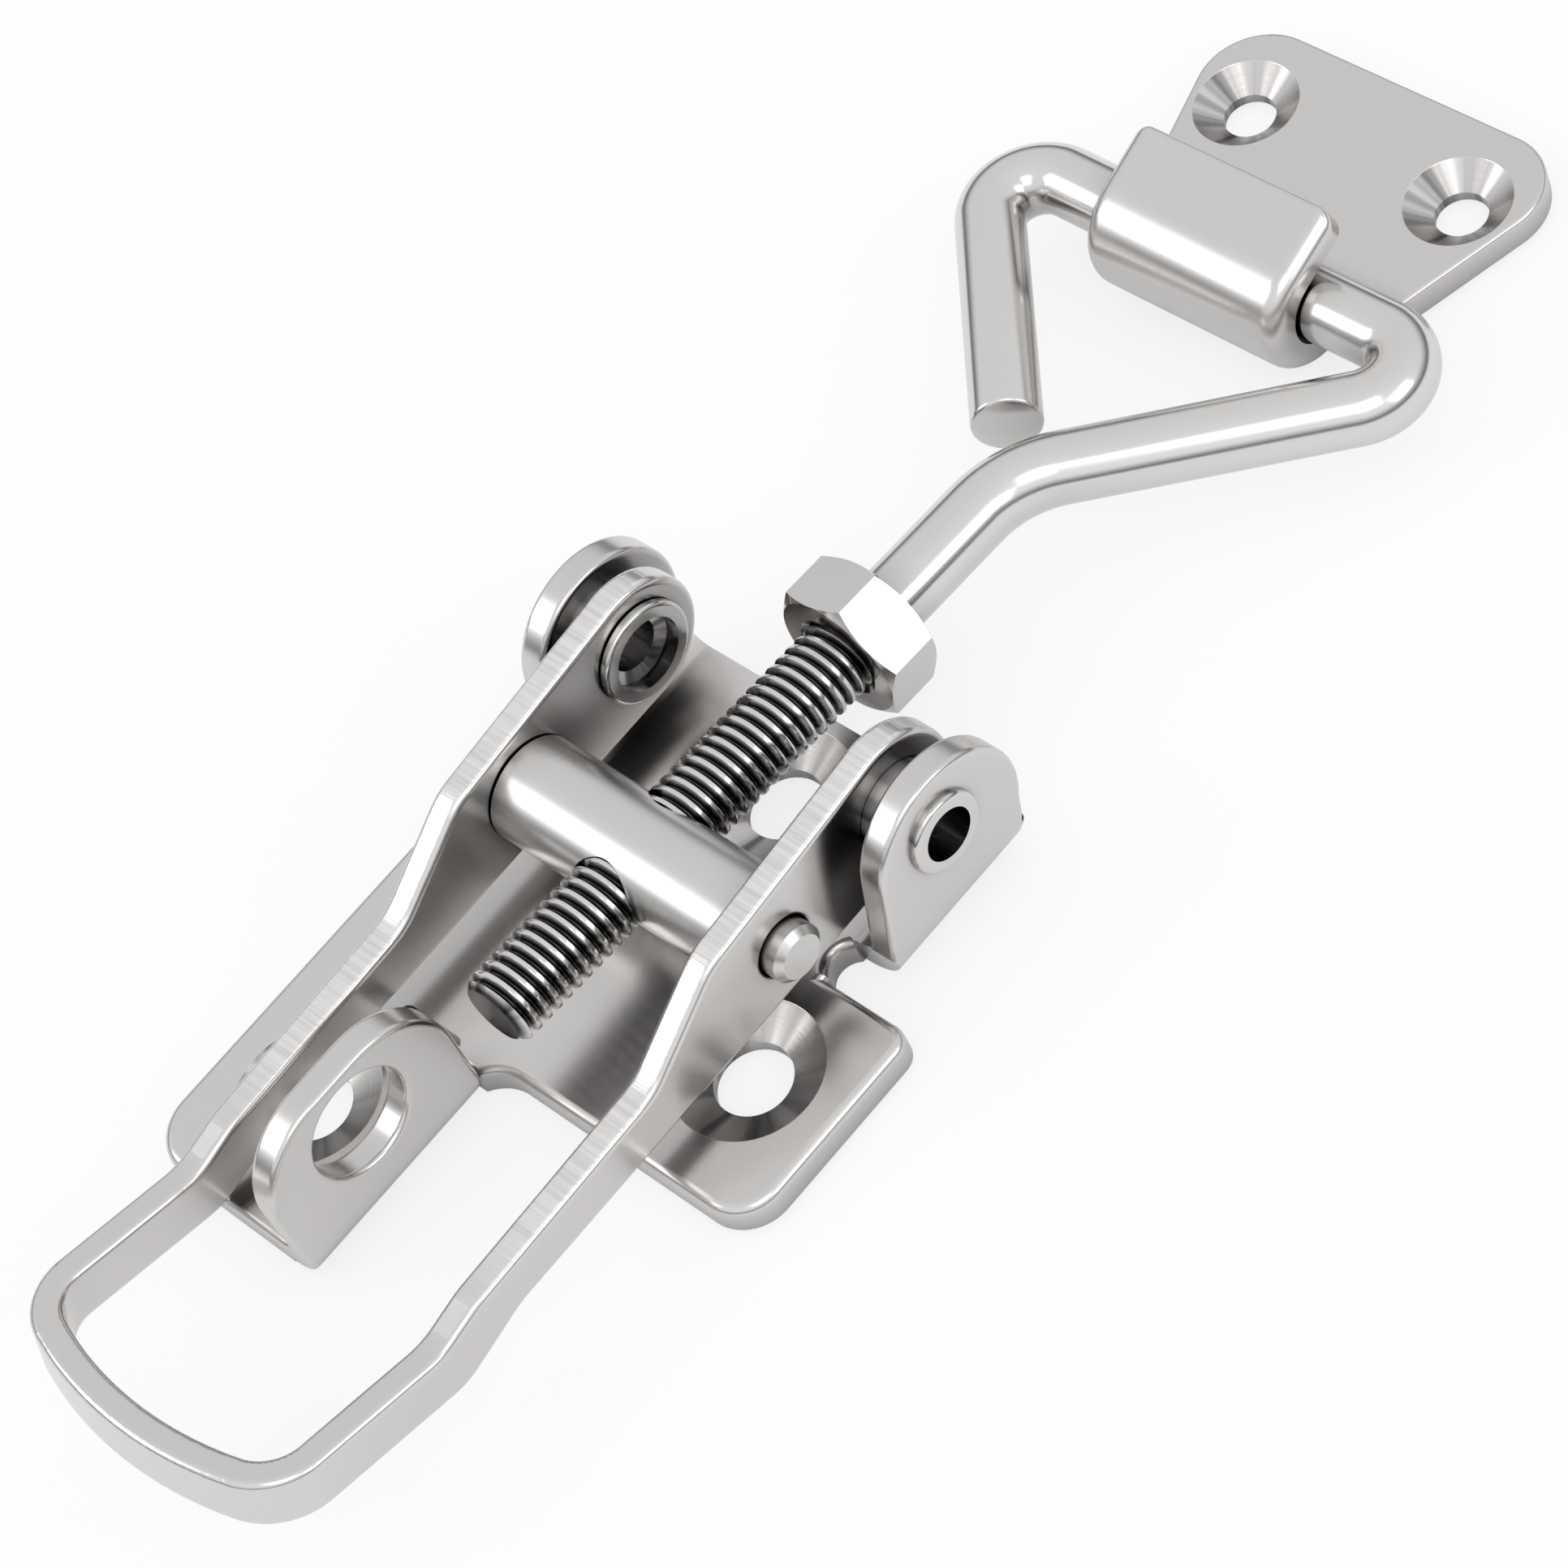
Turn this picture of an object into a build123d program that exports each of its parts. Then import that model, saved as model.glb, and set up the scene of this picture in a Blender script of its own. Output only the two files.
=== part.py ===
# Over centre toggle latch with an adjustable hook bolt and a strike plate.
# Millimetres. +Z is up from the mounting face, +Y runs from the lever pivot
# towards the strike plate, X runs along the pivot. The origin lies on the
# mounting face, at the centre of the rear screw hole.
import os
from math import atan2, cos, degrees, radians, sin, tan

from build123d import *

# Base plate: one folded sheet
BASE_SHEET = 2.4
EAR_GAP = 1.77
EAR_BEND_INNER_R = 2.4
EAR_TOP_R = 6.7
EAR_TOP_Y = 1.5
EAR_TOP_Z = 8.85
EAR_FRONT_STEP = 0.4645
EAR_FRONT_LEAN = 14.0
EAR_FOOT_Z = 4.2
EAR_NECK_Z = 3.0
EAR_REAR_FLARE = 0.5
EAR_REAR_STEP = 1.5
FLOOR_FRONT_Y = -27.1
WING_REACH = 3.55
WING_REAR_Y = -9.5
WING_REAR_R = 1.7
WING_FRONT_R = 3.5
STRIP_FRONT_Y = -45.9
STRIP_FRONT_R = 4.0
NOTCH_DEPTH = 5.55
BASE_EDGE_R = 0.75
EAR_EDGE_R = 0.45

# Padlock lug, bent up from the long strip of the base
LUG_FACE_X = -2.6
LUG_BEND_INNER_R = 1.0
LUG_REAR_Y = -28.6
LUG_TOP_Z = 14.9
LUG_CORNER_R = 6.5
LUG_EDGE_R = 0.45
LUG_ROOT_R = 1.8
RELIEF_END_X = -12.0
PADLOCK_HOLE_Y = -37.3
PADLOCK_HOLE_Z = 9.5
PADLOCK_HOLE_R = 4.15

# Countersunk screw holes of the base
BASE_HOLE_R = 2.88
BASE_SINK_R = 5.6
BASE_SINK_DEPTH = 1.4
SIDE_HOLE_X = 13.05
RIGHT_HOLE_Y = -17.75
LEFT_HOLE_Y = -36.5

# Lever: one bar on edge, bent round into a loop
BAR_THICK = 2.3
LEVER_HALF_WIDTH = 13.48
PIVOT_Y = 1.1
PIVOT_Z = 10.5
ARM_END_R = 5.5
HANDLE_END_Y = -63.3
HANDLE_BOW = 3.0
HANDLE_CORNER_R = 5.5
LEVER_EDGE_R = 0.55
# upper and lower edge of the bar in side view, as (Y, Z) corners
LEVER_TOP = [(-16.5, 14.1), (-24.5, 9.3), (-42.5, 8.6), (-46.5, 7.7), (-64.9, 12.4)]
LEVER_BOTTOM = [(-64.9, 7.9), (-46.1, 3.1), (-39.9, 4.7)]
LEVER_TURN_R = 5.0

# Pivot rivets: stepped, hollow, the outer end rolled over
RIVET_SHOULDER_R = 3.5
RIVET_NECK_R = 2.6
RIVET_FLANGE_R = 4.0
RIVET_FLANGE_THICK = 0.6
RIVET_HEAD_R = 3.1
RIVET_HEAD_THICK = 0.6
RIVET_BORE_R = 2.05
RIVET_MOUTH_R = 2.9
RIVET_MOUTH_DEPTH = 1.6
RIVET_MOUTH_CONE = 0.4
RIVET_ROLL_R = 0.4
RIVET_FLANGE_EDGE_R = 0.3
RUN_CLEAR = 0.05
SIDE_CLEAR = 0.15

# Trunnion barrel between the lever arms
BARREL_Y = -11.1
BARREL_Z = 9.25
BARREL_R = 4.03
BARREL_PIN_R = 2.2
BARREL_PIN_PROUD = 1.55
BARREL_PIN_CHAMFER = 0.5
PIN_CLEAR = 0.1
PIN_HOLE_RIM_R = 0.35

# Hook bolt: drawn rod with a rolled M6 thread, bent into an open triangle
THREAD_R = 2.95
ROD_R = 2.64
TIP_BEHIND_BARREL = 15.2
THREAD_LENGTH = 40.0
TIP_CHAMFER = 0.6
LOOP_CORNER_X = 23.5
LOOP_LEG_ANGLE = 45.0
LOOP_CORNER_R = 3.6
SHANK_BEND_R = 9.0
LOOP_END_X = -3.5

# Lock nut
NUT_FLATS = 10.0
NUT_THICK = 4.6
NUT_START = 20.0
NUT_TURN = 14.0
NUT_FACE_R = 5.0
NUT_CHAMFER_ANGLE = 30.0
NUT_BORE_CHAMFER = 0.4

# Strike plate: sheet with its tongue rolled into a hook
STRIKE_SHEET = 2.3
HOOK_INNER_R = 2.92
HOOK_Y = 50.8
HOOK_LIP_ANGLE = 18.0
HOOK_LIP_LENGTH = 5.4
HOOK_HALF_WIDTH = 9.15
HOOK_LIP_R = 1.4
STRIKE_FAR_Y = 71.35
STRIKE_HOLE_INSET = 6.98
STRIKE_HOLE_Y = 64.5
STRIKE_HOLE_R = 2.0
STRIKE_SINK_R = 4.07
STRIKE_SINK_DEPTH = 1.5
STRIKE_HALF_WIDTH = 16.95
STRIKE_NECK_Y = 51.5
STRIKE_FLARE = 0.294
STRIKE_CORNER_R = 5.0
STRIKE_NECK_R = 1.0
STRIKE_EDGE_R = 0.4

# Sizes that follow from those above
EAR_INNER_X = LEVER_HALF_WIDTH + EAR_GAP
EAR_OUTER_X = EAR_INNER_X + BASE_SHEET
WING_X = EAR_OUTER_X + WING_REACH
NOTCH_END_X = EAR_OUTER_X - NOTCH_DEPTH
STRIKE_HOLE_X = STRIKE_HALF_WIDTH - STRIKE_HOLE_INSET
EAR_BEND_OUTER_R = EAR_BEND_INNER_R + BASE_SHEET
EAR_FRONT_TOP_Y = EAR_TOP_Y - EAR_TOP_R * cos(radians(EAR_FRONT_LEAN))
EAR_FRONT_TOP_Z = EAR_TOP_Z + EAR_TOP_R * sin(radians(EAR_FRONT_LEAN))
EAR_FOOT_Y = EAR_FRONT_TOP_Y - (EAR_FRONT_TOP_Z - EAR_FOOT_Z) * tan(radians(EAR_FRONT_LEAN))
EAR_FOOT_FRONT_Y = EAR_FOOT_Y + EAR_FRONT_STEP
FLOOR_REAR_Y = EAR_TOP_Y + EAR_TOP_R - EAR_REAR_STEP
LUG_BACK_X = LUG_FACE_X - BASE_SHEET
LUG_BEND_OUTER_R = LUG_BEND_INNER_R + BASE_SHEET
ARM_INNER_X = LEVER_HALF_WIDTH - BAR_THICK
NOTCH_WIDTH = EAR_FOOT_FRONT_Y - WING_REAR_Y
HOOK_OUTER_R = HOOK_INNER_R + STRIKE_SHEET
BAR_Y = HOOK_Y
BAR_Z = HOOK_OUTER_R
BOLT_DROP = BARREL_Z - BAR_Z
BOLT_RUN = BAR_Y - BARREL_Y
BOLT_LENGTH = (BOLT_RUN**2 + BOLT_DROP**2) ** 0.5
BOLT_ANGLE = degrees(atan2(BOLT_DROP, BOLT_RUN))

# Plane of the hook bolt: x to the right, y along the rod, origin in the barrel
bolt_plane = Plane(
    origin=(0, BARREL_Y, BARREL_Z),
    x_dir=(1, 0, 0),
    z_dir=(0, sin(radians(BOLT_ANGLE)), cos(radians(BOLT_ANGLE))),
)


def across_bolt(distance):
    """Plane square to the hook bolt, at a distance along the rod from the barrel."""
    return Plane(
        origin=bolt_plane.from_local_coords((0, distance, 0)),
        x_dir=(1, 0, 0),
        z_dir=(0, cos(radians(BOLT_ANGLE)), -sin(radians(BOLT_ANGLE))),
    )


def sink_angle(rim, bore, depth):
    """Included angle of a countersink, from its rim, its bore and its depth."""
    return 2 * degrees(atan2(rim - bore, depth))


# Ears of the base: a channel section, trimmed to the ear outline
with BuildPart() as ears:
    channel_height = EAR_TOP_Z + EAR_TOP_R + 1
    channel_run = 4 * (EAR_TOP_R + EAR_TOP_Y)
    with BuildSketch(Plane.XZ.offset(channel_run / 2)) as channel:
        with Locations((0, channel_height / 2)):
            Rectangle(2 * EAR_OUTER_X, channel_height)
        fillet(channel.vertices().group_by(Axis.Y)[0], EAR_BEND_OUTER_R)
    extrude(amount=-channel_run)
    with BuildSketch(Plane.XZ.offset(channel_run / 2)) as channel_inside:
        with Locations((0, channel_height / 2 + BASE_SHEET)):
            Rectangle(2 * EAR_INNER_X, channel_height)
        fillet(channel_inside.vertices().group_by(Axis.Y)[0], EAR_BEND_INNER_R)
    extrude(amount=-channel_run, mode=Mode.SUBTRACT)
    with BuildSketch(Plane.YZ) as ear_outline:
        with Locations((EAR_TOP_Y, EAR_TOP_Z)):
            Circle(EAR_TOP_R)
        with BuildLine():
            Polyline(
                (EAR_FRONT_TOP_Y, EAR_FRONT_TOP_Z),
                (EAR_FOOT_Y, EAR_FOOT_Z),
                (EAR_FOOT_FRONT_Y, EAR_NECK_Z),
                (EAR_FOOT_FRONT_Y, 0),
                (FLOOR_REAR_Y, 0),
                (FLOOR_REAR_Y, EAR_NECK_Z),
                (FLOOR_REAR_Y + EAR_REAR_FLARE, EAR_FOOT_Z),
                (EAR_TOP_Y + EAR_TOP_R, EAR_TOP_Z),
                (EAR_FRONT_TOP_Y, EAR_FRONT_TOP_Z),
            )
        make_face()
    extrude(amount=EAR_OUTER_X + 1, both=True, mode=Mode.INTERSECT)
    ear_rims = ears.edges().filter_by(lambda e: e.center().Z > EAR_FOOT_Z + EAR_EDGE_R)
    ear_rims = ear_rims.filter_by(
        lambda e: min(abs(abs(e.center().X) - EAR_OUTER_X), abs(abs(e.center().X) - EAR_INNER_X)) < 0.01
    )
    fillet(ear_rims, EAR_EDGE_R)

# Padlock lug: an angle section, trimmed to the lug outline
with BuildPart() as lug:
    with BuildSketch(Plane.XZ.offset(-LUG_REAR_Y)) as angle_section:
        with BuildLine():
            Polyline(
                (RELIEF_END_X, 0),
                (LUG_FACE_X, 0),
                (LUG_FACE_X, LUG_TOP_Z),
                (LUG_BACK_X, LUG_TOP_Z),
                (LUG_BACK_X, BASE_SHEET),
                (RELIEF_END_X, BASE_SHEET),
                close=True,
            )
        make_face()
        for corner, radius in (
            ((LUG_FACE_X, 0, 0), LUG_BEND_OUTER_R),
            ((LUG_BACK_X, BASE_SHEET, 0), LUG_BEND_INNER_R),
        ):
            fillet(angle_section.vertices().sort_by_distance(corner)[0], radius)
    extrude(amount=LUG_REAR_Y - STRIP_FRONT_Y)
    with BuildSketch(Plane.YZ) as lug_outline:
        with BuildLine():
            Polyline(
                (STRIP_FRONT_Y, 0),
                (LUG_REAR_Y, 0),
                (LUG_REAR_Y, LUG_TOP_Z),
                (STRIP_FRONT_Y, LUG_TOP_Z),
                close=True,
            )
        make_face()
        fillet(lug_outline.vertices().group_by(Axis.Y)[-1], LUG_CORNER_R)
    extrude(amount=WING_X, both=True, mode=Mode.INTERSECT)
    with BuildSketch(Plane.YZ) as padlock_hole:
        with Locations((PADLOCK_HOLE_Y, PADLOCK_HOLE_Z)):
            Circle(PADLOCK_HOLE_R)
    extrude(amount=WING_X, both=True, mode=Mode.SUBTRACT)
    rim = lug.edges().filter_by(lambda e: e.center().Z > BASE_SHEET + LUG_BEND_OUTER_R)
    rim = rim.filter_by(
        lambda e: min(abs(e.center().X - LUG_FACE_X), abs(e.center().X - LUG_BACK_X)) < 0.01
    )
    fillet(rim, LUG_EDGE_R)

with BuildPart() as base_plate:
    with BuildSketch() as floor_outline:
        with Locations((0, (FLOOR_REAR_Y + FLOOR_FRONT_Y) / 2)):
            Rectangle(2 * (EAR_OUTER_X - EAR_BEND_OUTER_R), FLOOR_REAR_Y - FLOOR_FRONT_Y)
        with Locations((WING_X / 2, (WING_REAR_Y + FLOOR_FRONT_Y) / 2)):
            Rectangle(WING_X, WING_REAR_Y - FLOOR_FRONT_Y)
        strip_edge_x = LUG_FACE_X - LUG_BEND_OUTER_R
        with Locations(((strip_edge_x - WING_X) / 2, (WING_REAR_Y + STRIP_FRONT_Y) / 2)):
            Rectangle(WING_X + strip_edge_x, WING_REAR_Y - STRIP_FRONT_Y)
        # the floor meets the foot of the lug in a small web with a round corner
        with BuildLine():
            Polyline(
                (strip_edge_x, FLOOR_FRONT_Y),
                (strip_edge_x, LUG_REAR_Y),
                (LUG_FACE_X - LUG_BEND_OUTER_R / 4, LUG_REAR_Y),
            )
            RadiusArc(
                (LUG_FACE_X - LUG_BEND_OUTER_R / 4, LUG_REAR_Y),
                (LUG_FACE_X + LUG_ROOT_R, FLOOR_FRONT_Y),
                2 * LUG_ROOT_R,
            )
            Line((LUG_FACE_X + LUG_ROOT_R, FLOOR_FRONT_Y), (strip_edge_x, FLOOR_FRONT_Y))
        make_face()
        for corner, radius in (
            ((WING_X, WING_REAR_Y), WING_REAR_R),
            ((-WING_X, WING_REAR_Y), WING_REAR_R),
            ((WING_X, FLOOR_FRONT_Y), WING_FRONT_R),
            ((-WING_X, STRIP_FRONT_Y), STRIP_FRONT_R),
        ):
            fillet(floor_outline.vertices().sort_by_distance((*corner, 0))[0], radius)
        notch_r = NOTCH_WIDTH / 2
        notch_y = (EAR_FOOT_FRONT_Y + WING_REAR_Y) / 2
        for side in (-1, 1):
            with BuildLine():
                CenterArc((side * (NOTCH_END_X + notch_r), notch_y), notch_r, 90, side * 180)
                Polyline(
                    (side * (NOTCH_END_X + notch_r), notch_y - notch_r),
                    (side * WING_X, notch_y - notch_r),
                    (side * WING_X, notch_y + notch_r),
                    (side * (NOTCH_END_X + notch_r), notch_y + notch_r),
                )
            make_face(mode=Mode.SUBTRACT)
    extrude(amount=BASE_SHEET)
    fillet(base_plate.faces().sort_by(Axis.Z)[-1].outer_wire().edges(), BASE_EDGE_R)
    add(ears.part)
    add(lug.part)
    # relief slot behind the lug, where its bend ends
    slot_width = FLOOR_FRONT_Y - LUG_REAR_Y
    with BuildSketch() as relief:
        with Locations(((RELIEF_END_X + strip_edge_x) / 2, (FLOOR_FRONT_Y + LUG_REAR_Y) / 2)):
            SlotOverall(strip_edge_x - RELIEF_END_X, slot_width)
    extrude(amount=BASE_SHEET + 1, mode=Mode.SUBTRACT)
    # countersunk screw holes
    with Locations(
        (SIDE_HOLE_X, RIGHT_HOLE_Y, BASE_SHEET),
        (-SIDE_HOLE_X, LEFT_HOLE_Y, BASE_SHEET),
        (0, 0, BASE_SHEET),
    ):
        CounterSinkHole(
            radius=BASE_HOLE_R,
            counter_sink_radius=BASE_SINK_R,
            depth=BASE_SHEET,
            counter_sink_angle=sink_angle(BASE_SINK_R, BASE_HOLE_R, BASE_SINK_DEPTH),
        )
    # rivet holes through both ears
    with BuildSketch(Plane.YZ) as ear_holes:
        with Locations((PIVOT_Y, PIVOT_Z)):
            Circle(RIVET_NECK_R)
    extrude(amount=EAR_OUTER_X + 1, both=True, mode=Mode.SUBTRACT)

# Plane of the lever's loop: tilted to the rise of the handle, so that the
# bar's faces stand square to it; the origin lies on the end of the handle
turn_y, turn_z = LEVER_TOP[-2]
rise = (LEVER_TOP[-1][1] - turn_z) / (turn_y - LEVER_TOP[-1][0])
handle_rise = atan2(rise, 1)
handle_plane = Plane(
    origin=(0, HANDLE_END_Y, turn_z + rise * (turn_y - HANDLE_END_Y)),
    x_dir=(1, 0, 0),
    z_dir=(0, sin(handle_rise), cos(handle_rise)),
)

with BuildPart() as lever:
    # the loop seen square to the handle
    loop_reach = PIVOT_Y - HANDLE_END_Y + PIVOT_Z + ARM_END_R
    with BuildSketch(handle_plane) as lever_plan:
        with BuildLine():
            Polyline(
                (LEVER_HALF_WIDTH, HANDLE_BOW),
                (LEVER_HALF_WIDTH, loop_reach),
                (-LEVER_HALF_WIDTH, loop_reach),
                (-LEVER_HALF_WIDTH, HANDLE_BOW),
            )
            ThreePointArc((-LEVER_HALF_WIDTH, HANDLE_BOW), (0, 0), (LEVER_HALF_WIDTH, HANDLE_BOW))
        make_face()
        fillet(lever_plan.vertices().group_by(Axis.Y)[0], HANDLE_CORNER_R)
        offset(amount=-BAR_THICK, mode=Mode.SUBTRACT)
    extrude(amount=loop_reach / 2, both=True)
    # the bar seen from the side
    with BuildSketch(Plane.YZ) as lever_side:
        arm_top = (PIVOT_Y, PIVOT_Z + ARM_END_R)
        arm_foot = (PIVOT_Y, PIVOT_Z - ARM_END_R)
        with BuildLine():
            FilletPolyline(arm_top, *LEVER_TOP, radius=LEVER_TURN_R)
            Line(LEVER_TOP[-1], LEVER_BOTTOM[0])
            FilletPolyline(*LEVER_BOTTOM, arm_foot, radius=LEVER_TURN_R)
            Line(arm_foot, arm_top)
        make_face()
        with Locations((PIVOT_Y, PIVOT_Z)):
            Circle(ARM_END_R)
    extrude(amount=LEVER_HALF_WIDTH + 1, both=True, mode=Mode.INTERSECT)
    # holes for the rivets and for the pin ends of the barrel
    with BuildSketch(Plane.YZ) as lever_holes:
        with Locations((PIVOT_Y, PIVOT_Z)):
            Circle(RIVET_SHOULDER_R + RUN_CLEAR)
        with Locations((BARREL_Y, BARREL_Z)):
            Circle(BARREL_PIN_R + PIN_CLEAR)
    extrude(amount=LEVER_HALF_WIDTH + 1, both=True, mode=Mode.SUBTRACT)
    pin_rims = lever.edges().filter_by(GeomType.CIRCLE)
    pin_rims = pin_rims.filter_by(lambda e: abs(e.radius - BARREL_PIN_R - PIN_CLEAR) < 0.01)
    pin_rims = pin_rims.filter_by(lambda e: abs(e.center().X) > LEVER_HALF_WIDTH - 0.01)
    fillet(pin_rims, PIN_HOLE_RIM_R)
    cut_edges = lever.edges().filter_by(lambda e: e.center().Y < LEVER_TOP[0][0] + 1)
    cut_edges = cut_edges.filter_by(lambda e: e.length > BAR_THICK + 0.5)
    fillet(cut_edges, LEVER_EDGE_R)


def rivet(side):
    """Half profile of one pivot rivet, revolved about the pivot axis."""
    flange_x = ARM_INNER_X - SIDE_CLEAR - RIVET_FLANGE_THICK
    head_x = EAR_OUTER_X + RIVET_HEAD_THICK
    with BuildPart() as body:
        with BuildSketch(Plane((0, PIVOT_Y, PIVOT_Z))) as profile:
            with BuildLine():
                Polyline(
                    (side * flange_x, RIVET_MOUTH_R),
                    (side * flange_x, RIVET_FLANGE_R),
                    (side * (flange_x + RIVET_FLANGE_THICK), RIVET_FLANGE_R),
                    (side * (flange_x + RIVET_FLANGE_THICK), RIVET_SHOULDER_R),
                    (side * EAR_INNER_X, RIVET_SHOULDER_R),
                    (side * EAR_INNER_X, RIVET_NECK_R),
                    (side * EAR_OUTER_X, RIVET_NECK_R),
                    (side * EAR_OUTER_X, RIVET_HEAD_R),
                    (side * head_x, RIVET_HEAD_R),
                    (side * head_x, RIVET_BORE_R),
                    (side * (flange_x + RIVET_MOUTH_DEPTH), RIVET_BORE_R),
                    (side * (flange_x + RIVET_MOUTH_DEPTH - RIVET_MOUTH_CONE), RIVET_MOUTH_R),
                    close=True,
                )
            make_face()
            for corner, radius in (
                ((side * head_x, RIVET_HEAD_R, 0), RIVET_ROLL_R),
                ((side * flange_x, RIVET_FLANGE_R, 0), RIVET_FLANGE_EDGE_R),
            ):
                fillet(profile.vertices().sort_by_distance(corner)[0], radius)
        revolve(axis=Axis((0, PIVOT_Y, PIVOT_Z), (1, 0, 0)))
    return body.part


pivot_rivet_right = rivet(1)
pivot_rivet_left = rivet(-1)

with BuildPart() as trunnion_barrel:
    barrel_axis = Plane(origin=(0, BARREL_Y, BARREL_Z), x_dir=(0, 1, 0), z_dir=(1, 0, 0))
    pin_end_x = LEVER_HALF_WIDTH + BARREL_PIN_PROUD
    with BuildSketch(barrel_axis) as pin_section:
        Circle(BARREL_PIN_R)
    extrude(amount=pin_end_x, both=True)
    chamfer(trunnion_barrel.edges().filter_by(GeomType.CIRCLE), BARREL_PIN_CHAMFER)
    with BuildSketch(barrel_axis) as barrel_section:
        Circle(BARREL_R)
    extrude(amount=ARM_INNER_X - SIDE_CLEAR, both=True)
    # cross hole for the threaded end of the hook bolt
    with BuildSketch(across_bolt(0)) as cross_hole:
        Circle(THREAD_R + RUN_CLEAR)
    extrude(amount=2 * BARREL_R, both=True, mode=Mode.SUBTRACT)


with BuildPart() as hook_bolt:
    # bent rod: shank, right leg, cross bar, left leg
    slope = tan(radians(LOOP_LEG_ANGLE))
    bend_start = BOLT_LENGTH - LOOP_CORNER_X * slope
    loop_end_y = BOLT_LENGTH - (LOOP_CORNER_X + LOOP_END_X) * slope
    thread_end = THREAD_LENGTH - TIP_BEHIND_BARREL
    with BuildLine(bolt_plane) as rod_path:
        FilletPolyline(
            (0, thread_end),
            (0, bend_start),
            (LOOP_CORNER_X, BOLT_LENGTH),
            (-LOOP_CORNER_X, BOLT_LENGTH),
            (LOOP_END_X, loop_end_y),
            radius=(SHANK_BEND_R, LOOP_CORNER_R, LOOP_CORNER_R),
        )
    with BuildSketch(across_bolt(thread_end)) as rod_section:
        Circle(ROD_R)
    sweep()
    # threaded end, drawn as a plain rod of the crest diameter
    with BuildSketch(across_bolt(-TIP_BEHIND_BARREL)) as thread_section:
        Circle(THREAD_R)
    extrude(amount=THREAD_LENGTH)
    tip = hook_bolt.edges().filter_by(GeomType.CIRCLE).sort_by(Axis.Y)[0]
    chamfer(tip, TIP_CHAMFER)

with BuildPart() as lock_nut:
    with BuildSketch(across_bolt(NUT_START)) as nut_section:
        RegularPolygon(NUT_FLATS / 2, 6, major_radius=False, rotation=-NUT_TURN)
    extrude(amount=NUT_THICK)
    # both faces are turned to a round with a shallow chamfer
    with BuildSketch(Plane(
        origin=bolt_plane.from_local_coords((0, NUT_START, 0)),
        x_dir=(1, 0, 0),
        z_dir=bolt_plane.z_dir,
    )) as turned:
        turned_r = NUT_FLATS / 2 + 1
        drop = (turned_r - NUT_FACE_R) * tan(radians(NUT_CHAMFER_ANGLE))
        with BuildLine():
            Polyline(
                (0, 0),
                (NUT_FACE_R, 0),
                (turned_r, drop),
                (turned_r, NUT_THICK - drop),
                (NUT_FACE_R, NUT_THICK),
                (0, NUT_THICK),
                close=True,
            )
        make_face()
    rod_axis = Axis(bolt_plane.origin, across_bolt(0).z_dir)
    revolve(axis=rod_axis, mode=Mode.INTERSECT)
    with BuildSketch(across_bolt(NUT_START)) as nut_bore:
        Circle(THREAD_R + RUN_CLEAR)
    extrude(amount=NUT_THICK, mode=Mode.SUBTRACT)
    bore_rims = lock_nut.edges().filter_by(GeomType.CIRCLE)
    bore_rims = bore_rims.filter_by(lambda e: abs(e.radius - THREAD_R - RUN_CLEAR) < 0.01)
    chamfer(bore_rims, NUT_BORE_CHAMFER)

# Plate of the strike, seen from above
with BuildPart() as strike_flat:
    with BuildSketch() as plate_outline:
        shoulder_y = STRIKE_NECK_Y + STRIKE_NECK_R
        shoulder_x = STRIKE_HALF_WIDTH - STRIKE_FLARE * (STRIKE_FAR_Y - shoulder_y)
        with BuildLine():
            Polyline(
                (HOOK_HALF_WIDTH, HOOK_Y),
                (HOOK_HALF_WIDTH, STRIKE_NECK_Y),
                (shoulder_x, shoulder_y),
                (STRIKE_HALF_WIDTH, STRIKE_FAR_Y),
                (-STRIKE_HALF_WIDTH, STRIKE_FAR_Y),
                (-shoulder_x, shoulder_y),
                (-HOOK_HALF_WIDTH, STRIKE_NECK_Y),
                (-HOOK_HALF_WIDTH, HOOK_Y),
                close=True,
            )
        make_face()
        fillet(plate_outline.vertices().group_by(Axis.Y)[-1], STRIKE_CORNER_R)
    extrude(amount=STRIKE_SHEET)
    top_edges = strike_flat.faces().sort_by(Axis.Z)[-1].outer_wire().edges()
    fillet(top_edges.filter_by(lambda e: e.center().Y > STRIKE_NECK_Y), STRIKE_EDGE_R)

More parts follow.
